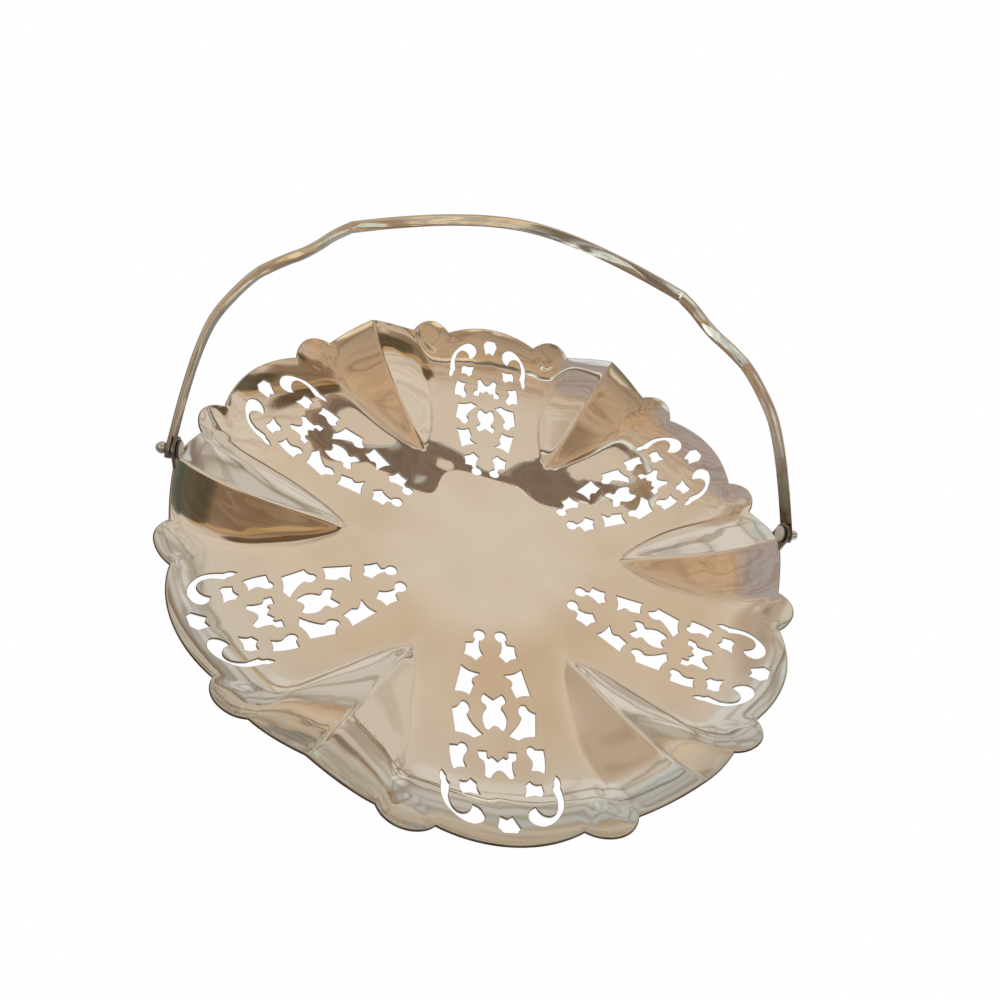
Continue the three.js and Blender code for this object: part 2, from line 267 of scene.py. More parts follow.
def heightAt(x, y):
    radius = np.hypot(x, y)
    angle = np.degrees(np.arctan2(y, x))
    crest = np.rint(angle / sectorAngle)
    run = np.clip((radius - sheet["flatRadius"]) / (sheet["rimRadius"] - sheet["flatRadius"]), 0, None)
    wall = sheet["wallRise"] * ((1 - sheet["upturn"]) * run**2 + sheet["upturn"] * run**6)
    for height, waves, turn in unevenness:
        wall = wall + height * run**2 * np.sin(waves * np.radians(angle - turn))
    shift = sheet["dishingShift"] * np.cos(sheet["sectors"] * np.radians(angle))
    shift = shift * between(radius, 0, sheet["shiftedBeyond"])
    dished = between(radius - shift, *sheet["dishingFrom"]) * (1 - between(radius, *sheet["dishingTo"]))
    wall = wall + sheet["dishing"] * dished
    offCrest = np.abs(angle - sectorAngle * crest)
    wall = wall + rimFinish(radius, offCrest)
    fluteRun, halfWidth, hollow = fluteAt(radius)
    width = np.maximum(halfWidth, flute["leastWidth"])
    past = np.clip(radius - flute["start"], 0, None)
    crestRound = flute["crestRound"] + flute["softPoint"] * np.exp(-past / flute["pointLength"])
    footRound = flute["footRound"] + flute["footGrowth"] * np.clip(fluteRun, 0, 1) ** 2
    across = radius * np.sin(np.radians(offCrest)) / np.maximum(halfWidth, 1e-5)
    inside = 1 - np.sqrt(across**2 + (crestRound / width) ** 2)
    inside = 0.5 * (inside + np.sqrt(inside**2 + (footRound / width) ** 2))
    rise = flute["rise"] * fluteRun
    for which, extra in flute["extraRise"].items():
        rise = rise + np.where(crest == which, extra * fluteRun**3, 0)
    nearFlute = 1 - between(offCrest, *flute["fadesOut"])
    return sheet["thickness"] + wall + rise * inside**hollow * nearFlute


def lobeRadius(offMiddle, halfAngle, reach):
    # radius of the rim in one lobe: an arc through its two notches and its tip
    notch = sheet["rimRadius"]
    halfChord = notch * sin(radians(halfAngle))
    bulge = notch + reach - notch * cos(radians(halfAngle))
    bend = (halfChord**2 + bulge**2) / (2 * bulge)
    centre = notch + reach - bend
    turn = np.radians(np.clip(offMiddle, -halfAngle, halfAngle))
    return centre * np.cos(turn) + np.sqrt(bend**2 - (centre * np.sin(turn)) ** 2)


def rimRadiusAt(offCrest):
    notch = sheet["notchAngle"]
    panel = sectorAngle / 2
    crestLobe = lobeRadius(offCrest, notch, sheet["crestReach"])
    smallLobe = lobeRadius(offCrest - panel / 2, panel / 2 - notch, sheet["smallLobeReach"])
    panelLobe = lobeRadius(offCrest - panel, notch, sheet["panelLobeReach"])
    return np.where(offCrest <= notch, crestLobe, np.where(offCrest <= panel - notch, smallLobe, panelLobe))


innerCount = len(sheet["innerRings"])
ringCount = innerCount + sheet["wallRings"] + sheet["rimRings"]


def ringRadius(ring):
    # a few rings in the flat middle, more up the wall, and the closest at the rim
    if ring < innerCount:
        return sheet["innerRings"][ring]
    ring -= innerCount
    if ring < sheet["wallRings"]:
        share = ring / sheet["wallRings"]
        return sheet["flatRadius"] + share * (sheet["lobedFrom"] - sheet["flatRadius"])
    share = (ring - sheet["wallRings"]) / sheet["rimRings"]
    return sheet["lobedFrom"] + share * (sheet["rimRadius"] - sheet["lobedFrom"])


def offCrestOfStation(step, radius):
    # stations crowd at the crest and at the foot of the flute
    _, halfWidth, _ = fluteAt(radius)
    foot = max(np.degrees(np.arcsin(halfWidth / max(radius, sheet["crowdedFrom"]))), sheet["leastFoot"])
    smallEnd = sectorAngle / 2 - sheet["notchAngle"]
    first, second = sheet["stepsInFlute"], sheet["stepsInSmallLobe"]
    if step <= first:
        return foot * 0.5 * (1 - cos(pi * step / first))
    if step <= first + second:
        return foot + (smallEnd - foot) * ((step - first) / second) ** sheet["lobeCrowding"]
    return smallEnd + (sectorAngle / 2 - smallEnd) * (step - first - second) / sheet["stepsInPanel"]


halfSteps = sheet["stepsInFlute"] + sheet["stepsInSmallLobe"] + sheet["stepsInPanel"]


def flatPlace(ring, station):
    # place in one flat sector, with its middle line along +X
    radius = ringRadius(ring)
    side = 1 if station > halfSteps else -1
    offCrest = offCrestOfStation(halfSteps - abs(station - halfSteps), radius)
    start = sheet["lobedFrom"]
    if radius > start:
        lobed = float(rimRadiusAt(offCrest)) - start
        radius = start + (radius - start) * lobed / (sheet["rimRadius"] - start)
    turn = side * radians(sectorAngle / 2 - offCrest)
    return radius * cos(turn), radius * sin(turn), sheet["thickness"]


# Hole outlines of one panel in millimetres, as [across, out from the centre].
# A step of two numbers is a straight run, and one of four is a bend: control point, then end.
pairedHoles = (
    [[5.8, 46.5], [6.9, 44.9, 6.2, 43.4], [4.8, 41.6, 2.6, 43.1], [1.6, 44.6, 2.6, 46],
     [3.6, 47.2, 4.7, 47], [5.2, 51, 3.4, 53.4], [6.1, 56], [7.6, 54.5], [10.3, 53.6],
     [9.4, 51.4, 9.6, 48.6], [6.6, 48.3], [5.8, 46.5]],
    [[4.6, 61.9], [9.2, 61.6, 11.6, 59], [14.1, 69.8], [10.8, 69.4, 8.9, 71], [7.3, 66.8],
     [8.9, 64.6, 6.8, 63.2], [4.6, 61.9]],
    [[15.2, 77.2], [14.2, 86.2], [10.4, 86.2, 8, 88], [5, 86.6], [9.8, 81.8, 10.3, 78.9],
     [8.6, 77.2, 9.6, 75.4], [10.6, 73.4, 12, 74.4], [12.6, 76.6, 15.2, 77.2]],
    [[16.4, 91.6], [16.6, 96.4, 15.4, 100.2], [13.8, 99, 11.3, 99.4], [13.2, 96.4, 11.4, 94.4],
     [10, 92.4, 11.2, 90.9], [12.6, 89.9, 13.4, 91.6], [16.4, 91.6]],
    [[10, 103.8], [11.4, 105.6, 13.6, 104.8], [13.8, 107.4], [13, 108.9], [10.6, 108.6],
     [7.5, 109.3], [8.9, 107.2, 8.4, 105.2], [10, 103.8]],
    [[19.5, 101.4], [20.7, 102.8, 19.7, 105.4], [20.8, 112, 17.4, 115.6],
     [14.6, 119.4, 10.8, 119.9], [6.8, 119.4, 7.3, 116.4], [7.9, 114, 10.1, 113.2],
     [11, 116.4, 14, 116.5], [17.8, 116, 18.2, 110], [17.4, 106],
     [18.6, 105, 18.4, 103.2], [19.5, 101.4]],
)
# holes on the panel's middle line: the half on one side of it
middleHoles = (
    [[0, 72.9], [3.3, 70.5], [4.7, 71.8, 4.1, 73.8], [2.2, 74.6, 2.5, 76.2], [4.8, 79, 4, 82],
     [3.4, 84.9, 2.3, 84.5], [1.2, 82.8, 0, 82.8]],
    [[0, 97.1], [2, 95.3], [3.1, 96], [4, 95.2], [4, 93.2], [6.6, 93.2], [6.3, 95.6],
     [4.7, 96.6], [4.2, 99.4, 4.9, 101.8], [4.2, 103.4, 3.2, 102.6], [1.4, 99.8, 0, 99.8]],
    [[0, 117.9], [1.9, 116.9], [3.4, 120.8], [2, 122.6], [0, 122.6]],
)
piercing = {
    "start": 42.3,  # millimetres, as the drawing
    "border": 4.8,
    "wider": 0.0002,  # metres, how far each drawn outline is widened
    "drawn": (42.4, 122.6),
    "bendStep": 0.9,
    "roll": 0.0003,  # radius of the rolled upper edge of each hole
    "breakOut": 0.00012,  # how much wider the hole is at the underside
    "overshoot": 0.00002,
    "leastMitre": 0.6,
}


def outlinePoints(steps):
    points = [tuple(steps[0])]
    for step in steps[1:]:
        start = points[-1]
        if len(step) == 2:
            points.append(tuple(step))
            continue
        control, end = step[:2], step[2:]
        parts = ceil((dist(start, control) + dist(control, end)) / piercing["bendStep"])
        for i in range(1, parts + 1):
            t = i / parts
            points.append(tuple(
                (1 - t) ** 2 * a + 2 * t * (1 - t) * b + t**2 * c for a, b, c in zip(start, control, end)
            ))
    return points


def panelOutlines():
    def mirrored(points):
        return [(-across, out) for across, out in points]

    def fit(points):
        end = (sheet["rimRadius"] + sheet["panelLobeReach"]) / millimetre - piercing["border"]
        first, last = piercing["drawn"]
        scale = (end - piercing["start"]) / (last - first)
        return [
            Vector((piercing["start"] + (out - first) * scale, across * scale)) * millimetre
            for across, out in points
        ]

    paired = [outlinePoints(steps)[:-1] for steps in pairedHoles]
    halves = [outlinePoints(steps) for steps in middleHoles]
    middle = [half + mirrored(half[1:-1])[::-1] for half in halves]
    return [fit(points) for points in paired + [mirrored(p) for p in paired] + middle]


def grown(outline, distance):
    # the outline moved outwards, with its corners mitred
    area = sum(a.x * b.y - b.x * a.y for a, b in zip(outline, outline[1:] + outline[:1]))
    turn = 1 if area > 0 else -1
    count = len(outline)
    sides = [(outline[(i + 1) % count] - outline[i]).normalized() for i in range(count)]
    outward = [Vector((side.y, -side.x)) * turn for side in sides]
    moved = []
    for i, point in enumerate(outline):
        both = outward[i - 1] + outward[i]
        moved.append(point + both * (distance / max(both.length_squared / 2, piercing["leastMitre"])))
    return moved


def holeCutter(outline):
    # a punch the shape of the finished hole: wider below, and flared at its upper edge
    top = sheet["thickness"]
    roll = piercing["roll"]
    halfway = roll * (1 - sqrt(0.5))
    past = piercing["overshoot"]
    flare = halfway + (halfway + past) / np.tan(radians(22.5))
    spread = piercing["breakOut"]
    levels = (
        (-top, 2 * spread), (0, spread), (top - roll, 0), (top - halfway, halfway), (top + past, flare),
    )
    loops = [(grown(outline, piercing["wider"] + growth), level) for level, growth in levels]
    count = len(outline)

    def place(step, level):
        points, height = loops[level]
        return (*points[step % count], height)

    cutter = wrappedGrid("cutter", count, len(levels) - 1, place)
    closeEnds(cutter)
    return cutter


def flatSector():
    # one sector of the sheet, lying flat and pierced, with its two crest edges left open
    sector = wrappedGrid("dish_sheet", ringCount, 2 * halfSteps, flatPlace)
    choose(sector, "FACE", lambda face: face.normal.z < 0)
    bpy.ops.mesh.flip_normals()
    endEdit()
    modify(sector, "SOLIDIFY", thickness=sheet["thickness"], offset=-1)
    cut(sector, joined([holeCutter(outline) for outline in panelOutlines()]))
    seam = radians(sectorAngle / 2)

    def onSeam(face):
        return abs(face.normal.z) < 0.5 and abs(abs(atan2(face.center.y, face.center.x)) - seam) < 0.0002

    choose(sector, "FACE", onSeam)
    bpy.ops.mesh.delete(type="FACE")
    endEdit()
    return sector


def wholeFlatSheet():
    first = flatSector()
    sectors = [first]
    for sector in range(1, sheet["sectors"]):
        pick(first)
        bpy.ops.object.duplicate()
        sectors.append(bpy.context.object)
    for sector, piece in enumerate(sectors):
        piece.data.transform(Matrix.Rotation(radians((sector + 0.5) * sectorAngle), 4, "Z"))
    whole = joined(sectors)
    mergeDoubles(whole)
    mesh = whole.data

    def onRim(vertex):
        angle = degrees(atan2(vertex.co.y, vertex.co.x))
        offCrest = abs(angle - sectorAngle * round(angle / sectorAngle))
        return vertex.co.xy.length > rimRadiusAt(offCrest) - 0.00001

    rim = {vertex.index for vertex in mesh.vertices if onRim(vertex)}

    def alongRim(edge):
        a, b = edge.vertices
        return a in rim and b in rim and abs(mesh.vertices[a].co.z - mesh.vertices[b].co.z) < 1e-6

    choose(whole, "EDGE", alongRim)
    bpy.ops.mesh.bevel(offset=sheet["edgeRound"], segments=3, affect="EDGES")
    endEdit()
    return whole


def bendSheet(piece):
    # lifts every point of the flat sheet, and turns its shading normals with it
    smooth(piece, 50)
    mesh = piece.data
    thickness = sheet["thickness"]
    flat = placesOf(piece)
    shading = np.array([corner.vector for corner in mesh.corner_normals])
    owner = np.array([corner.vertex_index for corner in mesh.loops])
    facing = np.repeat([face.normal.z for face in mesh.polygons], [face.loop_total for face in mesh.polygons])
    x, y, z = flat.T
    step = 0.00005
    slopeX = (heightAt(x + step, y) - heightAt(x - step, y)) / (2 * step)
    slopeY = (heightAt(x, y + step) - heightAt(x, y - step)) / (2 * step)
    normals = np.stack((-slopeX, -slopeY, np.ones_like(x)), axis=1)
    normals /= np.linalg.norm(normals, axis=1, keepdims=True)
    depth = (thickness - z)[:, None]
    placeVertices(piece, np.stack((x, y, heightAt(x, y)), axis=1) - depth * normals)
    close = 1e-6
    shading[z[owner] > thickness - close] = (0, 0, 1)
    shading[(z[owner] < close) & (facing < -0.2)] = (0, 0, -1)
    a, b, c = normals[owner].T
    axis = np.stack((-b, a, np.zeros_like(a)), axis=1)
    once = np.cross(axis, shading)
    shading = shading + once + np.cross(axis, once) / (1 + c)[:, None]
    markFolds(mesh, x, y, z)
    mesh.normals_split_custom_set(shading)


# where the finish changes, by distance from the middle of the dish: start and full change
zones = {
    "noseFrom": (-0.001, 0.003),  # from the start of the flute
    "noseTo": (0.068, 0.098),
    "foldWidth": 0.0007,
    "foldShadeEnds": (0.6, 0.85),  # share of the way to the lower side, where the painted shade along the folds ends
    # painted warm-brown reflection on the lower half: where it starts and ends, and its soft edge beside the
    # flutes
    "paintedWarmFrom": (0.032, 0.056),
    "paintedWarmTo": (0.094, 0.116),
    "paintedWarmEdge": 0.006,  # half the width of its soft edge along a flute's foot
    "flutesClear": (0.052, 0.066),
    # the lower rim: rougher, and tinted grey as a painted reflection
    "dullFrom": (0.108, 0.12),
    "workedFrom": 0.05,
    "workedRun": 0.055,
    "rollShade": 0.3,  # how much a rolled edge takes of a cut edge's painted shade
}


def markFolds(mesh, x, y, z):
    # attributes for the finish: painted shade along folds and in cut edges, worked sheet, a painted warm
    # reflection, and the dull rim with a painted grey reflection
    radius = np.hypot(x, y)
    angle = np.degrees(np.arctan2(y, x))
    fluteRun, halfWidth, _ = fluteAt(radius)
    across = np.abs(radius * np.sin(np.radians(angle - sectorAngle * np.rint(angle / sectorAngle))))
    nose = between(radius - flute["start"], *zones["noseFrom"]) * (1 - between(radius, *zones["noseTo"]))
    onRoll = sheet["thickness"] - z > 1e-6
    onCut = sheet["thickness"] - z > piercing["roll"] - 1e-6
    lowerSide = 0.5 - 0.5 * y / np.maximum(radius, 1e-6)
    middle = between(radius, *zones["paintedWarmFrom"]) * (1 - between(radius, *zones["paintedWarmTo"]))
    besideFlutes = between(across - halfWidth, -zones["paintedWarmEdge"], zones["paintedWarmEdge"])
    besideFlutes = np.maximum(besideFlutes, 1 - between(radius, *zones["flutesClear"]))
    nearFoot = np.exp(-(((across - halfWidth) / zones["foldWidth"]) ** 2))
    marks = {
        # tarnish and painted shade: a dark line along each flute's foot by its nose, fading out on the lower
        # side
        "fold": nose * nearFoot * (1 - between(lowerSide, *zones["foldShadeEnds"])),
        # painted shade on the cut walls of the holes, and less of it on their rolled upper edges
        "cutEdge": between(z, 0, 0.00001) * np.where(onCut, 1, zones["rollShade"] * onRoll),
        "worked": np.clip((radius - zones["workedFrom"]) / zones["workedRun"], 0, 1),
        # painted reflection: warm brown on the middle of the lower half, beside the flutes
        "film": lowerSide * middle * besideFlutes,
        # the lower rim, rougher and with a painted grey reflection
        "dull": lowerSide**2 * between(radius, *zones["dullFrom"]),
    }
    for name, values in marks.items():
        layer = mesh.attributes.new(name, "FLOAT", "POINT")
        layer.data.foreach_set("value", values)


# Ears: upturned tabs on two crests, which carry the hinge pins
ear = {
    "inside": 0.124,  # from the middle of the dish
    "radius": 0.0048,
    "bore": 0.0015,
    "sides": 96,
    "boreSides": 64,
    "sink": 0.0005,  # into the sheet
    "edgeRound": 0.0002,
}


def makeEar():
    thickness = sheet["thickness"]
    middle = ear["inside"] + thickness / 2
    tab = rod("ear_right", ear["sides"], ear["radius"], middle, thickness)
    applyPlace()
    places = placesOf(tab)
    foot = heightAt(np.full(len(places), middle), places[:, 1]) - ear["sink"]
    below = places[:, 2] < hinge.z - 1e-6
    places[below, 2] = foot[below]
    placeVertices(tab, places)
    cut(tab, rod("cutter", ear["boreSides"], ear["bore"], middle, 4 * thickness))
    modify(tab, "BEVEL", width=ear["edgeRound"], segments=3, limit_method="ANGLE", angle_limit=radians(50))
    smooth(tab, 40)
    return tab


def mirroredCopy(piece, name):
    pick(piece)
    bpy.ops.object.duplicate()
    other = newest(name)
    other.data.transform(Matrix.Scale(-1, 4, (1, 0, 0)))
    choose(other, "FACE")
    faceOutwards()
    return other


dish = wholeFlatSheet()
bendSheet(dish)
earRight = makeEar()
earLeft = mirroredCopy(earRight, "ear_left")
print("dish made:", len(dish.data.polygons), "faces")


# Handle: a strip, flat inside and domed outside, bent in one plane
bail = {
    "middle": 0.12705,  # from the middle of the dish to the middle of the strip
    "height": 0.1264,  # from the hinge line to the middle of the top
    "width": 0.0073,
    "thickness": 0.0019,
    "lean": 26.75,  # degrees above the rim plane
    "edgeRound": 0.0003,
    "legSteps": 84,
    "topSteps": 26,
    "endSteps": 10,
    "endTurn": 86,  # degrees of each round end, which leaves a short flat tip
    "sectionSteps": 14,
    "flatShare": 0.96,  # of the half width, on the flat inside
    "domeDrop": 1.45,  # fall of the outside at its edges, as a share of half the thickness
    "domePower": 3.9,
}
# middle line of one half, from hinge to corner, as shares of the half span and the height
legShares = (
    (1, 0), (0.994, 0.16), (0.981, 0.31), (0.957, 0.43), (0.912, 0.528), (0.862, 0.607),
    (0.82, 0.648), (0.776, 0.684), (0.732, 0.716), (0.69, 0.756), (0.648, 0.803), (0.595, 0.849),
)
topShares = ((0.595, 0.849), (0.222, 1), (0, 1))  # corner, control point, top


def bailPoint(share):
    return Vector((share[0] * bail["middle"], share[1] * bail["height"]))


def legPoint(t):
    # a smooth line through the points of the leg
    points = [bailPoint(share) for share in legShares]
    last = len(points) - 1
    place = t * last
    i = min(int(place), last - 1)
    w = place - i
    before, start, end, after = points[max(i - 1, 0)], points[i], points[i + 1], points[min(i + 2, last)]
    out, into = (end - before) / 2, (after - start) / 2
    cubic = 2 * start - 2 * end + out + into
    square = 3 * end - 3 * start - 2 * out - into
    return cubic * w**3 + square * w**2 + out * w + start


def topPoint(t):
    corner, control, top = [bailPoint(share) for share in topShares]
    return (1 - t) ** 2 * corner + 2 * t * (1 - t) * control + t**2 * top


def bailStations():
    # place and half width along the whole strip, with round ends below the hinge line
    half = bail["width"] / 2
    ends = []
    for step in range(bail["endSteps"]):
        turn = radians(bail["endTurn"]) * (1 - step / bail["endSteps"])
        ends.append((Vector((bail["middle"], -half * sin(turn))), half * cos(turn)))
    leg = [(legPoint(i / bail["legSteps"]), half) for i in range(bail["legSteps"] + 1)]
    top = [(topPoint(i / bail["topSteps"]), half) for i in range(1, bail["topSteps"] + 1)]
    right = ends + leg + top
    left = [(Vector((-place.x, place.y)), width) for place, width in right[:-1]]
    return right + left[::-1]


def bailSection():
    # as [share of the half width, offset outwards], round the strip
    half = bail["thickness"] / 2
    steps = bail["sectionSteps"]
    dome = []
    for i in range(steps + 1):
        share = cos(pi * i / steps)
        dome.append((share, half * (1 - bail["domeDrop"] * abs(share) ** bail["domePower"])))
    flat = bail["flatShare"]
    return [(-flat, -half), (0, -half), (flat, -half)] + dome


def makeBail():
    stations = bailStations()
    section = bailSection()
    tilt = Matrix.Rotation(radians(bail["lean"] - 90), 3, "X")

    def place(i, j):
        middle, halfWidth = stations[i]
        before = stations[max(i - 1, 0)][0]
        after = stations[min(i + 1, len(stations) - 1)][0]
        along = (after - before).normalized()
        share, outwards = section[j % len(section)]
        upright = Vector((
            middle.x + along.y * outwards, -share * halfWidth, middle.y - along.x * outwards,
        ))
        return tilt @ upright + hinge

    strip = wrappedGrid("handle_strip", len(stations) - 1, len(section), place)
    closeEnds(strip)
    cut(strip, rod("cutter", ear["boreSides"], ear["bore"], hinge.x, 3 * bail["middle"]))
    modify(strip, "BEVEL", width=bail["edgeRound"], segments=2, limit_method="ANGLE", angle_limit=radians(35))
    smooth(strip, 30)
    return strip


handle = makeBail()
print("handle made:", len(handle.data.polygons), "faces")


# Hinge: on each side a headed pin, a washer and a ball nut, where their solids are
turned = {
    "sides": 64,
    "headGap": 0.0003,  # between the pin's head and the ear
    "shank": 0.0012,
    "domeShare": 0.65,  # of the head's thickness
    "domeTurn": 12,  # degrees per step of the dome
    "domeSteps": 8,
    "shankRound": 0.0002,
    "washerRound": 0.00012,
    "ball": 0.0022,
    "ballRings": 40,
    "ballRound": 0.0001,
    "boreEnd": 0.0003,  # how far short of the ball's middle its bore ends
}


def turnedBlank(name, radius, inner, outer):
    piece = rod(name, turned["sides"], radius, (inner + outer) / 2, outer - inner)
    applyPlace()
    return piece


def bevelRims(piece, places, offset):
    # rounds the circular edges that lie at these distances from the middle of the dish
    vertices = piece.data.vertices

    def onRim(edge):
        a, b = (vertices[index].co for index in edge.vertices)
        return any(abs(a.x - place) < 1e-6 and abs(b.x - place) < 1e-6 for place in places)

    choose(piece, "EDGE", onRim)
    bpy.ops.mesh.bevel(offset=offset, segments=3, affect="EDGES")
    endEdit()


def makePin():
    low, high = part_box("pin_right")
    headRadius = (high.y - low.y) / 2
    headOutside = ear["inside"] - turned["headGap"]
    dome = turned["domeShare"] * (headOutside - low.x)
    pin = turnedBlank("pin_right_turned", headRadius, low.x + dome, headOutside)
    choose(pin, "FACE", lambda face: face.normal.x > 0.9)
    bpy.ops.mesh.inset(thickness=headRadius - turned["shank"])
    bpy.ops.mesh.extrude_region_move(TRANSFORM_OT_translate={"value": (high.x - headOutside, 0, 0)})
    choose(pin, "FACE", lambda face: face.normal.x < -0.9 and face.center.x < headOutside - 1e-6)
    turns = [radians(turned["domeTurn"] * step) for step in range(turned["domeSteps"])]
    for before, after in zip(turns, turns[1:]):
        bpy.ops.mesh.inset(
            thickness=headRadius * (cos(before) - cos(after)), depth=dome * (sin(after) - sin(before))
        )
    endEdit()
    bevelRims(pin, [high.x], turned["shankRound"])
    smooth(pin, 40)
    return pin


def makeWasher():
    low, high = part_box("washer_right")
    radius = (high.y - low.y) / 2
    washer = turnedBlank("washer_right_ring", radius, low.x, high.x)
    choose(washer, "FACE", lambda face: abs(face.normal.x) > 0.9)
    bpy.ops.mesh.inset(thickness=radius - ear["bore"])
    bpy.ops.mesh.bridge_edge_loops()
    endEdit()
    bevelRims(washer, [low.x, high.x], turned["washerRound"])
    smooth(washer, 40)
    return washer


def makeNut():
    low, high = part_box("nut_right")
    radius = turned["ball"]
    bpy.ops.mesh.primitive_uv_sphere_add(
        segments=turned["sides"], ring_count=turned["ballRings"], radius=radius,
        location=(high.x - radius, 0, hinge.z), rotation=(0, pi / 2, 0),
    )
    nut = newest("nut_right_ball")
    applyPlace()
    choose(nut, "FACE")
    bpy.ops.mesh.bisect(plane_co=(low.x, 0, 0), plane_no=(1, 0, 0), use_fill=True, clear_inner=True)
    choose(nut, "FACE", lambda face: face.normal.x < -0.99 and face.center.x < low.x + 1e-5)
    seat = sqrt(radius**2 - (high.x - radius - low.x) ** 2)
    bpy.ops.mesh.inset(thickness=seat - ear["bore"])
    bpy.ops.mesh.extrude_region_move(TRANSFORM_OT_translate={"value": (radius - turned["boreEnd"], 0, 0)})
    endEdit()
    bevelRims(nut, [low.x], turned["ballRound"])
    smooth(nut, 40)
    return nut


hingePieces = {}
for part, make in (("pin", makePin), ("washer", makeWasher), ("nut", makeNut)):
    right = make()
    left = mirroredCopy(right, right.name.replace("right", "left"))
    hingePieces[f"{part}_right"] = right
    hingePieces[f"{part}_left"] = left
print("hinge pieces made")


# Shader sums: a socket that can stand in a Python expression, and its node tree

class Wire:
    def __init__(self, paint, socket):
        self.paint = paint
        self.socket = socket

    def __add__(self, other):
        return self.paint.maths("ADD", self, other)

    def __rsub__(self, other):
        return self.paint.maths("SUBTRACT", other, self)

    def __mul__(self, other):
        return self.paint.maths("MULTIPLY", self, other)

    def squared(self):
        return self * self

    __radd__ = __add__
    __rmul__ = __mul__


class Paint:
    def __init__(self, owner):
        owner.use_nodes = True
        self.tree = owner.node_tree
        self.tree.nodes.clear()

    def node(self, kind, settings=None, inputs=None, output=0):
        made = self.tree.nodes.new("ShaderNode" + kind)
        for name, value in (settings or {}).items():
            if name == "stops":
                self.setStops(made.color_ramp, value)
            else:
                setattr(made, name, value)
        for name, value in (inputs or {}).items():
            if isinstance(value, Wire):
                self.tree.links.new(value.socket, made.inputs[name])
            else:
                made.inputs[name].default_value = value
        return Wire(self, made.outputs[output]) if len(made.outputs) else made

    def setStops(self, ramp, stops):
        while len(ramp.elements) < len(stops):
            ramp.elements.new(1)
        for element, (place, tint) in zip(ramp.elements, stops):
            element.position = place
            element.color = (*tint, 1)

    def maths(self, operation, *values):
        return self.node("Math", {"operation": operation}, dict(enumerate(values)))

    def fade(self, value, low, high, top=1.0):
        # 0 at low, the top value at high, and smooth between
        inputs = {"Value": value, "From Min": low, "From Max": high, "To Max": top}
        return self.node("MapRange", {"interpolation_type": "SMOOTHSTEP"}, inputs)

    def blend(self, share, first, second, mode="MIX"):
        def tint(value):
            return value if isinstance(value, Wire) else (*value, 1)

        settings = {"data_type": "RGBA", "blend_type": mode}
        return self.node("Mix", settings, {0: share, 6: tint(first), 7: tint(second)}, output=2)

    def toned(self, tint, tone):
        return self.blend(1.0, tint, tone, "MULTIPLY")

    def dot(self, first, second):
        return self.node("VectorMath", {"operation": "DOT_PRODUCT"}, {0: first, 1: second}, output=1)

    def part(self, vector, which):
        return self.node("SeparateXYZ", {}, {"Vector": vector}, output=which)

    def stretched(self, vector, scale, turn=(0, 0, 0)):
        inputs = {"Vector": vector, "Scale": scale, "Rotation": tuple(radians(t) for t in turn)}
        return self.node("Mapping", {}, inputs)

    def noise(self, vector, scale, detail=2.0, roughness=0.5, twist=0.0, output=0):
        look = {"Scale": scale, "Detail": detail, "Roughness": roughness, "Distortion": twist}
        return self.node("TexNoise", {}, {"Vector": vector} | look, output=output)

    def spots(self, vector, settings):
        *noise, low, high = settings
        return self.fade(self.noise(vector, *noise), low, high)

    def attribute(self, name):
        return self.node("Attribute", {"attribute_name": name}, output=2)


# Silver plate: wiping marks, a little haze, and tarnish, with painted shade in folds, cut edges, down the
# handle's legs and round the pin heads, and painted reflections tinting the dish.
# Spots are noise: scale, detail, roughness and twist, then the values where they begin and are full.

dishLook = {
    "silver": (0.93, 0.865, 0.775),
    "haze": (0.84, 0.745, 0.63),
    # colour of tarnish and of painted shade
    "tarnish": (0.13, 0.085, 0.045),
    "roughness": 0.018,
    "hazeRoughness": 0.03,
    "markRoughness": 0.03,
    "tarnishRoughness": 0.15,
    "hazeSpots": (42, 4, 0.6, 0.6, 0.42, 0.72),
    "hazeShare": 0.14,
    "markShare": 0.06,
    # painted warm-brown reflection: its colour, spots and shares
    "film": (0.78, 0.62, 0.46),
    "filmSpots": (16, 3, 0.5, 0.3, 0.3, 0.62),
    "filmShares": (0.35, 0.55),  # at least, and what spots add
    # painted grey reflection on the lower rim, and how much of it
    "dullTint": (0.77, 0.79, 0.77),
    "dullShare": 0.9,
    "dullRoughness": 0.07,
    "markDepth": 1.5e-6,
    "waveDepth": 0.00003,
    "workedDepth": 0.00014,  # of the waves left in the sheet near the rim
    "waves": (46, 1, 0.4, 0.8),
}
handleLook = dishLook | {
    "silver": (0.93, 0.91, 0.87),
    "haze": (0.72, 0.66, 0.58),
    "tarnish": (0.1, 0.072, 0.045),
    "roughness": 0.085,
    "waves": (60, 1, 0.4, 0.8),
}
hingeLook = dishLook | {
    "silver": (0.8, 0.8, 0.79),
    "haze": (0.52, 0.49, 0.45),
    "roughness": 0.1,
    "hazeRoughness": 0.1,
    "waveDepth": 0.000004,
    "waves": (200, 1, 0.4, 0.8),
}
pinLook = hingeLook | {
    "silver": (0.9, 0.97, 1.0),
    "haze": (0.84, 0.88, 0.92),
    "tarnish": (0.05, 0.04, 0.035),
    "roughness": 0.42,
}


# hair-fine marks in three directions, as a polishing cloth leaves them
wiping = {
    "runs": ((25, 26), (-40, 34), (80, 30)),  # turn in degrees, and scale along the marks
    "scales": (2600, 900),  # across them, and through the sheet
    "streaks": (1, 1, 0.6, 0.72),
    "patches": (34, 1, 0.45, 0.65),
}


def wipingMarks(paint, place):
    marks = 0
    across, through = wiping["scales"]
    for turn, along in wiping["runs"]:
        streaks = paint.stretched(place, (across, along, through), (0, 0, turn))
        patches = paint.stretched(place, (1, 1, 1), (0, 0, turn))
        marks = marks + paint.spots(streaks, wiping["streaks"]) * paint.spots(patches, wiping["patches"])
    return marks


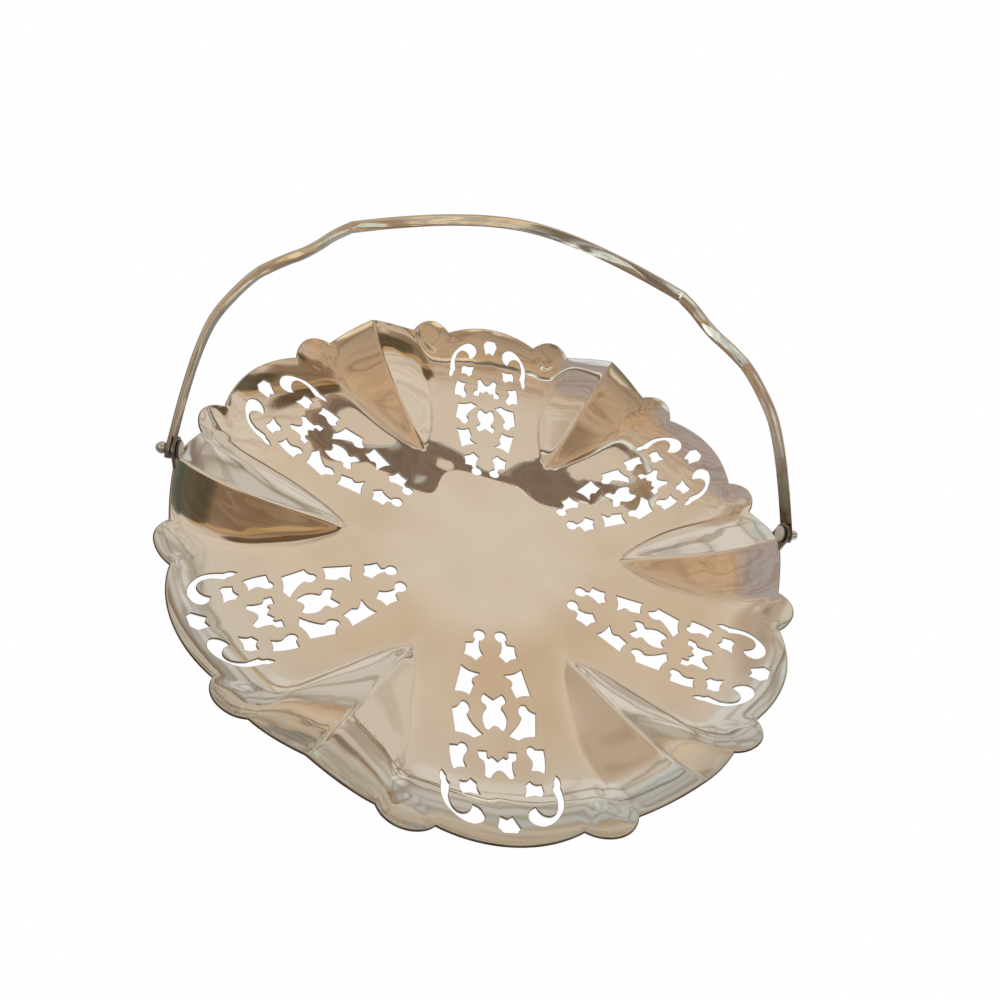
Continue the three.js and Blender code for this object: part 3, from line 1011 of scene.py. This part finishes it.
def silverPlate(name, look, tarnishAndShadeOf, isSheet=False):
    material = bpy.data.materials.new(name)
    paint = Paint(material)
    place = paint.node("TexCoord", output=3)
    marks = wipingMarks(paint, place)
    haze = paint.spots(place, look["hazeSpots"])
    # tarnish, and painted shade in folds, cut edges, handle legs and round the pins
    tarnish = tarnishAndShadeOf(paint, place)
    colour = paint.blend(haze * look["hazeShare"], look["silver"], look["haze"])
    colour = paint.blend(marks * look["markShare"], colour, look["haze"])
    roughness = look["roughness"] + haze * look["hazeRoughness"] + marks * look["markRoughness"]
    roughness = roughness + tarnish * look["tarnishRoughness"]
    waves = paint.noise(place, *look["waves"])
    waveDepth = look["waveDepth"]
    if isSheet:
        # painted warm-brown reflection on the lower half of the dish
        least, added = look["filmShares"]
        film = paint.attribute("film") * (least + paint.spots(place, look["filmSpots"]) * added)
        colour = paint.blend(film, colour, look["film"])
        # lower rim made rougher, and tinted grey as a painted reflection
        dull = paint.attribute("dull")
        colour = paint.blend(dull * look["dullShare"], colour, look["dullTint"])
        roughness = roughness + dull * look["dullRoughness"]
        worked = paint.attribute("worked")
        waveDepth = waveDepth + worked.squared() * look["workedDepth"]
    # darkened to the tarnish colour where tarnish and painted shade are marked
    colour = paint.blend(tarnish, colour, look["tarnish"])
    fine = paint.node("Bump", {}, {"Distance": look["markDepth"], "Height": marks})
    bump = paint.node("Bump", {}, {"Distance": 1.0, "Height": waves * waveDepth, "Normal": fine})
    surface = paint.node("BsdfPrincipled", {}, {
        "Base Color": colour, "Roughness": roughness, "Metallic": 1.0, "Normal": bump,
    })
    paint.node("OutputMaterial", {}, {"Surface": surface})
    return material


# tarnish and painted shade: where each darkens, and how much
tarnishAndShadeMarks = {
    "breaks": (90, 4, 0.6, 0.4, 0.38, 0.62),
    "fold": (0.22, 0.25),  # tarnish and painted shade along the flute feet: at least, and what the breaks add
    # painted shade in the cut walls of the holes: at least, and what the breaks add
    "cutEdge": (0.84, 0.14),
    "bands": (30, 4, 0.6, 1.2, 0.5, 0.7),
    "bandShare": 0.22,
    "legShadeHeights": (0.038, -0.002),  # above the hinge: where the painted shade on the legs starts, and where it is full
    "leg": (0.42, 0.38),  # painted shade on the left leg, and how much more on the right
    "leftToRight": (-0.1, 0.1),
    # painted shade on the round ends below the hinge: where it starts and is full, and its share
    "endShadeHeights": (0.007, 0),
    "end": 0.35,
    "most": 0.95,
    "patches": (300, 4, 0.6, 0.5, 0.46, 0.7),
    "patchShare": 0.35,
    "hingeRimShade": (0.0031, 0.0037, 0.8),  # painted shade round the pin's head: two distances from the pin's axis, and a share
    # painted shade at the rim of the pin's head: two distances from its axis, and a share
    "pinRimShade": (0.0032, 0.0036, 0.85),
}


def dishTarnishAndShade(paint, place):
    # tarnish and painted shade in the fold round each flute's nose, and painted shade in cut edges, broken up
    # by noise
    breaks = paint.spots(place, tarnishAndShadeMarks["breaks"])
    folds, edges = (
        paint.attribute(name) * (tarnishAndShadeMarks[name][0] + breaks * tarnishAndShadeMarks[name][1])
        for name in ("fold", "cutEdge")
    )
    return paint.maths("MAXIMUM", folds, edges)


def handleTarnishAndShade(paint, place):
    # broad faint bands of tarnish, and painted shade, dark brown, towards the hinge, more on the right leg
    # and most on the round ends
    bands = paint.spots(place, tarnishAndShadeMarks["bands"]) * tarnishAndShadeMarks["bandShare"]
    height = paint.part(place, 2)
    rightHalf = paint.fade(paint.part(place, 0), *tarnishAndShadeMarks["leftToRight"])
    leg, end = (
        paint.fade(height, *(hinge.z + above for above in tarnishAndShadeMarks[heights]))
        for heights in ("legShadeHeights", "endShadeHeights")
    )
    leg = leg * (tarnishAndShadeMarks["leg"][0] + rightHalf * tarnishAndShadeMarks["leg"][1])
    return paint.maths("MINIMUM", bands + leg + end * tarnishAndShadeMarks["end"], tarnishAndShadeMarks["most"])


def rimShade(paint, place, name):
    # painted shade: darker from one distance from the pin's axis to the other
    across = paint.node("Mapping", {}, {"Vector": place, "Location": (0, 0, -hinge.z), "Scale": (0, 1, 1)})
    fromAxis = paint.node("VectorMath", {"operation": "LENGTH"}, {0: across}, output=1)
    low, high, share = tarnishAndShadeMarks[name]
    return paint.fade(fromAxis, low, high) * share


def hingeTarnishAndShade(paint, place):
    # painted shade in the corner round the pin's head, and tarnish in patches
    patches = paint.spots(place, tarnishAndShadeMarks["patches"]) * tarnishAndShadeMarks["patchShare"]
    return paint.maths("MAXIMUM", patches, rimShade(paint, place, "hingeRimShade"))


def pinShade(paint, place):
    # painted shade round the rim of the pin's head
    return rimShade(paint, place, "pinRimShade")


def dress(piece, material, body, slot, *nodes):
    piece.data.materials.clear()
    piece.data.materials.append(material)
    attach(piece, body)
    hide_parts(*nodes)


dishSilver = silverPlate("dish_silver_plate", dishLook, dishTarnishAndShade, isSheet=True)
handleSilver = silverPlate("handle_silver_plate", handleLook, handleTarnishAndShade)
hingeSilver = silverPlate("hinge_silver_plate", hingeLook, hingeTarnishAndShade)
pinSilver = silverPlate("pin_silver_plate", pinLook, pinShade)
dress(dish, dishSilver, "dish", "dish_silver", "dish")
for tab in (earRight, earLeft):
    dress(tab, hingeSilver, "dish", "dish_silver", "dish")
dress(handle, handleSilver, "bail", "handle_silver", "bail")
for name, piece in hingePieces.items():
    dress(piece, pinSilver if name.startswith("pin") else hingeSilver, "dish", "hinge_silver", name)
print("finishes made")


# Studio: a ground and backdrop that the camera sees white, toned cards that the metal mirrors, and a lamp

floorLook = {
    "radius": 30,
    "colour": (0.85, 0.85, 0.85),
    "below": 0.00005,  # the part
    "plainShare": 0.93,  # of a plain tone over the lit floor, to the camera and the metal
    "seenWhite": (1.045, 1.045, 1.06),  # with the lit share it comes to 1
    "mirroredLeft": (0.26, 0.25, 0.225),
    "mirroredRight": (0.6, 0.65, 0.65),
    "mirroredFar": (0.2, 0.15, 0.12),
    "leftToRight": (-0.1, 0.1),
    "nearToFar": (-0.18, -0.5),
}


def makeFloor():
    bpy.ops.mesh.primitive_circle_add(
        vertices=96, radius=floorLook["radius"], fill_type="NGON",
        location=(0, 0, cadBox[0].z - floorLook["below"]),
    )
    floor = newest("floor")
    applyPlace()
    material = bpy.data.materials.new("floor_white")
    paint = Paint(material)
    lit = paint.node("BsdfDiffuse", {}, {"Color": (*floorLook["colour"], 1)})
    place = paint.node("TexCoord", output=3)
    rightwards = paint.fade(paint.part(place, 0), *floorLook["leftToRight"])
    mirrored = paint.blend(rightwards, floorLook["mirroredLeft"], floorLook["mirroredRight"])
    forwards = paint.fade(paint.part(place, 1), *floorLook["nearToFar"])
    mirrored = paint.blend(forwards, mirrored, floorLook["mirroredFar"])
    camera = paint.node("LightPath", output="Is Camera Ray")
    glossy = paint.node("LightPath", output="Is Glossy Ray")
    plain = paint.node("Emission", {}, {"Color": paint.blend(camera, mirrored, floorLook["seenWhite"])})
    share = paint.maths("MAXIMUM", camera, glossy) * floorLook["plainShare"]
    surface = paint.node("MixShader", {}, {0: share, 1: lit, 2: plain})
    paint.node("OutputMaterial", {}, {"Surface": surface})
    floor.data.materials.append(material)


# the studio's tones along one axis
roomAxis = (80, 100)  # azimuth from +X, and angle from straight up, in degrees
roomStops = (
    (0.0, (0.26, 0.19, 0.13)),
    (0.26, (0.43, 0.325, 0.23)),
    (0.41, (0.6, 0.41, 0.25)),
    (0.5, (0.6, 0.47, 0.355)),
    (0.64, (0.66, 0.57, 0.47)),
    (0.76, (0.72, 0.645, 0.545)),
    (0.83, (0.66, 0.6, 0.52)),
    (0.95, (0.61, 0.58, 0.53)),
)
# cards: colour, azimuth, angle from straight up, half width, half height, turn, softness, strength
cards = (
    ((0.68, 0.61, 0.54), 113, 37, 6, 5, 0, 0.4, 0.9),  # pale card on the left
    ((0.46, 0.34, 0.25), 116, 49, 12, 7, 0, 0.7, 0.8),
    ((0.41, 0.375, 0.385), 172, 40, 12, 12, 0, 0.75, 0.85),  # mauve card, and a cold light in it
    ((0.82, 0.95, 1.06), 195, 46, 9, 6, 20, 0.35, 0.95),
    ((0.5, 0.375, 0.25), -20, 25, 14, 8, 0, 0.45, 0.8),  # warm card overhead, and a small lit one on it
    ((0.86, 0.76, 0.58), 279, 35, 3.0, 2.4, 0, 0.7, 0.85),
    ((0.25, 0.165, 0.1), 14, 39, 7, 13, 0, 0.35, 0.92),  # dark card on the right, with gilt edges
    ((0.11, 0.09, 0.055), 18, 57, 4.4, 11, 0, 0.25, 0.94),
    ((0.095, 0.115, 0.085), 19, 67, 5, 5, 0, 0.25, 0.9),
    ((0.11, 0.06, 0.025), 36, 32, 3.6, 9, 0, 0.35, 0.92),
    ((0.56, 0.37, 0.17), 23.5, 38, 0.8, 15, 3, 0.4, 0.85),
    ((0.5, 0.3, 0.15), 28.5, 32, 0.5, 10, -2, 0.4, 0.85),
    ((0.73, 0.71, 0.68), 88, 66, 16, 6, 0, 0.15, 0.8),  # pale far cards with rails across them
    ((0.63, 0.67, 0.64), 116, 73, 10, 6, 0, 0.1, 0.9),
    ((0.75, 0.73, 0.7), 61, 77, 6, 5, 0, 0.3, 0.8),
    ((0.36, 0.28, 0.2), 92, 65.5, 15, 0.6, 3, 0.3, 0.65),
    ((0.34, 0.27, 0.2), 78, 75.5, 28, 0.6, 2, 0.3, 0.6),
    ((0.28, 0.21, 0.15), 75, 82, 36, 1.0, 0, 0.25, 0.35),
    ((0.25, 0.19, 0.13), 75, 88, 44, 1.1, 0, 0.25, 0.35),
    ((1.0, 0.85, 0.58), 291, 50, 14, 13, 0, 0.15, 0.95),  # bright cards behind the camera, and dark bars
    ((0.86, 0.98, 0.98), 232, 50, 16, 13, 0, 0.12, 0.95),
    ((0.95, 1.05, 1.12), 259, 50, 3.4, 13, 0, 0.3, 0.95),
    ((0.17, 0.14, 0.11), 270, 50, 7, 15, 0, 0.25, 0.92),
    ((0.16, 0.15, 0.13), 250.5, 50, 4.2, 15, 0, 0.3, 0.92),
    ((0.8, 0.93, 0.88), -18, 66, 10, 10, 0, 0.2, 0.9),
    ((0.24, 0.18, 0.15), 268, 77, 62, 13, 0, 0.08, 0.92),
)
room = {
    "sways": ((2.2, 0.12), (9, 0.035)),  # scale and amount of the waviness of every edge
    "clouds": (3.2, 3, 0.5, 0.35, 0.7),
    "cloudShare": 0.16,
    "cloudColour": (0.42, 0.33, 0.25),
}
# marbled drift of tone and fine dark lines, which the flutes draw out
veins = {
    "scale": 3.2,
    "count": 5.0,
    "tone": 0.32,
    "toneColour": (0.55, 0.48, 0.4),
    "line": 0.32,
    "toneFrom": -0.2,  # value of the wave
    "lineFrom": 0.86,
    "lineColour": (0.16, 0.1, 0.055),
    "calmAxis": (71, 40),  # what the flat middle reflects stays plain
    "reach": (14, 34),
}
# fine strands in their place, where the lower faces of the flutes at the hinges look
strands = {
    "stretch": (2, 44, 2),
    "fibres": (1, 3, 0.6, 0.46, 0.6),
    "strength": 0.48,
    "tone": (0.62, 0.52, 0.42),
    "axes": ((164, 30), (17, 42)),
    "reach": (30, 16),  # degrees from those axes
    "veinsLost": 0.85,
}
grain = {
    "turn": (20, 0, 62),  # degrees
    "stretch": (3, 3, 34),
    "streaks": (2, 4, 0.6, 0.6, 0.46, 0.6),
    "strength": 0.22,
    "colour": (0.3, 0.195, 0.115),
    "axis": (235, 14),
    "reach": (0.72, 0.9),  # cosines of the angles from that axis at which it begins and is full
}


def direction(azimuth, polar):
    a, p = radians(azimuth), radians(polar)
    return Vector((sin(p) * cos(a), sin(p) * sin(a), cos(p)))


def cardMask(paint, ray, azimuth, polar, halfWidth, halfHeight, turn, softness, strength):
    # a rectangle with round corners, that fades out round its edge
    axis = direction(azimuth, polar)
    sideways = Vector((0, 0, 1)).cross(axis).normalized()
    sideways.rotate(Matrix.Rotation(radians(turn), 3, axis))
    upwards = axis.cross(sideways)
    x = paint.dot(ray, sideways / sin(radians(halfWidth)))
    y = paint.dot(ray, upwards / sin(radians(halfHeight)))
    distance = x.squared().squared() + y.squared().squared()
    return paint.fade(distance, (1 + softness) ** 4, (1 - softness) ** 4, strength)


def swayed(paint, ray, scale, amount):
    sway = paint.noise(ray, scale, output=1)
    sway = paint.node("VectorMath", {"operation": "SUBTRACT"}, {0: sway, 1: (0.5, 0.5, 0.5)})
    sway = paint.node("VectorMath", {"operation": "SCALE"}, {0: sway, "Scale": amount})
    return paint.node("VectorMath", {"operation": "ADD"}, {0: ray, 1: sway})


def makeRoom():
    world = bpy.data.worlds.new("room")
    bpy.context.scene.world = world
    paint = Paint(world)
    ray = paint.node("TexCoord", output=0)
    bent = ray
    for scale, amount in room["sways"]:
        bent = swayed(paint, bent, scale, amount)
    along = paint.dot(bent, direction(*roomAxis)) * 0.5 + 0.5
    tint = paint.node("ValToRGB", {"stops": roomStops}, {"Fac": along})
    clouds = paint.spots(bent, room["clouds"])
    tint = paint.blend(clouds * room["cloudShare"], tint, room["cloudColour"])
    for colour, *shape in cards:
        tint = paint.blend(cardMask(paint, bent, *shape), tint, colour)

    # veins and strands
    reach = [cos(radians(angle)) for angle in strands["reach"]]
    nearAxes = [paint.fade(paint.dot(bent, direction(*axis)), *reach) for axis in strands["axes"]]
    stranded = paint.maths("MAXIMUM", *nearAxes)
    wave = paint.maths("SINE", paint.noise(bent, veins["scale"], 1.0) * (2 * pi * veins["count"]))
    reach = [cos(radians(angle)) for angle in veins["reach"]]
    away = paint.fade(paint.dot(ray, direction(*veins["calmAxis"])), *reach)
    away = away * (1 - stranded * strands["veinsLost"])
    drift = paint.fade(wave, veins["toneFrom"], 1) * away * veins["tone"]
    tint = paint.blend(drift, tint, paint.toned(tint, veins["toneColour"]))
    lines = paint.fade(wave, veins["lineFrom"], 1) * away * veins["line"]
    tint = paint.blend(lines, tint, veins["lineColour"])
    fibres = paint.spots(paint.stretched(bent, strands["stretch"]), strands["fibres"])
    fibres = fibres * stranded * strands["strength"]
    tint = paint.blend(fibres, tint, paint.toned(tint, strands["tone"]))

    # grain
    streaks = paint.spots(paint.stretched(bent, grain["stretch"], grain["turn"]), grain["streaks"])
    grained = paint.fade(paint.dot(bent, direction(*grain["axis"])), *grain["reach"])
    streaks = streaks * grained * grain["strength"]
    tint = paint.blend(streaks, tint, grain["colour"])
    camera = paint.node("LightPath", output="Is Camera Ray")
    seen = paint.blend(camera, tint, (1, 1, 1))
    background = paint.node("Background", {}, {"Color": seen})
    paint.node("OutputWorld", {}, {"Surface": background})


lampPlace = {"axis": (250, 60), "distance": 1.1}
lampLook = {"shape": "RECTANGLE", "size": 0.3, "size_y": 0.22, "energy": 0.2, "color": (1, 0.97, 0.92)}


def makeLamp():
    axis = direction(*lampPlace["axis"])
    bpy.ops.object.light_add(type="AREA", location=axis * lampPlace["distance"])
    lamp = newest("lamp_soft")
    lamp.rotation_euler = (-axis).to_track_quat("-Z", "Y").to_euler()
    for name, value in lampLook.items():
        setattr(lamp.data, name, value)


cameraPlace = {
    "location": (-0.05808, -0.18548, 0.23571),
    "turn": (41.914, -13.796, -1.96),  # degrees
    "lens": 24.98,
    "sensor": 36,
}


def makeCamera():
    turn = tuple(radians(t) for t in cameraPlace["turn"])
    bpy.ops.object.camera_add(location=cameraPlace["location"], rotation=turn)
    camera = bpy.context.object
    camera.data.lens = cameraPlace["lens"]
    camera.data.sensor_width = cameraPlace["sensor"]
    camera.data.clip_start = 0.01
    bpy.context.scene.camera = camera


pickNothing()
makeFloor()
makeRoom()
makeLamp()
makeCamera()
bpy.context.scene.view_settings.view_transform = "Standard"
print("studio made")
